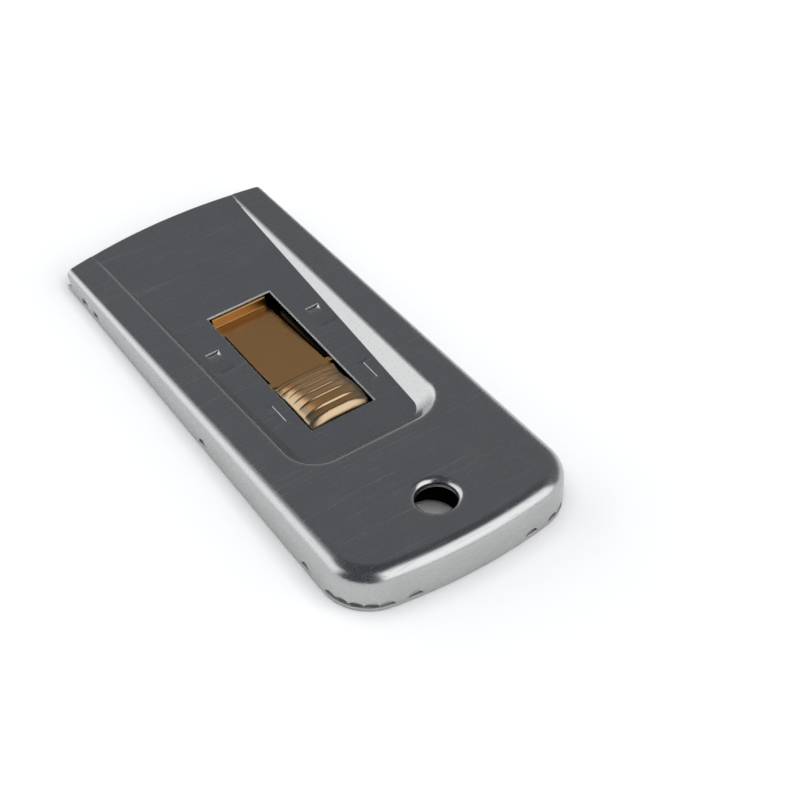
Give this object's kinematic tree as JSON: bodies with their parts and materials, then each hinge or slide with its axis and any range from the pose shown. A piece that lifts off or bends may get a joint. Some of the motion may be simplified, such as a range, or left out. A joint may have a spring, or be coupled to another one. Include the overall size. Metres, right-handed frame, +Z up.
{
  "type": "razor blade scraper",
  "caption": "Flat pocket scraper: two crimped sheet steel shells, a sprung thumb button in a window and a sliding carrier with a single-edge blade.",
  "frame": {"origin": "middle of the underside, at the centre of the outline's box", "axes": "+Z up through the cover, -Y out of the mouth where the blade comes out, +Y to the tail with the hanging hole, +X to the right seen from the tail"},
  "size_m": [0.0478, 0.1016, 0.0086],
  "materials": {
    "cover_steel": "brushed, satin",
    "base_steel": "brushed, satin",
    "carrier_steel": "plain mill finish",
    "spring_brass": "satin",
    "rivet_steel": "plain",
    "blade_steel": "ground and polished",
    "spine_steel": "plain"
  },
  "bodies": {
    "housing": {"top_cover": "cover_steel", "base_pan": "base_steel"},
    "slide": {"blade_carrier": "carrier_steel", "spring_rivets": "rivet_steel", "razor_blade": "blade_steel", "blade_spine": "spine_steel"},
    "thumb": {"thumb_spring": "spring_brass"}
  },
  "joints": [
    {"name": "carrier_slide", "type": "slide", "parent": "housing", "child": "slide", "axis": [0, -1, 0], "range_m": [0, 0.02]},
    {"name": "thumb_press", "type": "hinge", "parent": "slide", "child": "thumb", "pos_m": [0, -0.0254, 0.00285], "axis": [-1, 0, 0], "range_deg": [0, 2.5], "stiffness_Nm_per_rad": 1.5}
  ]
}
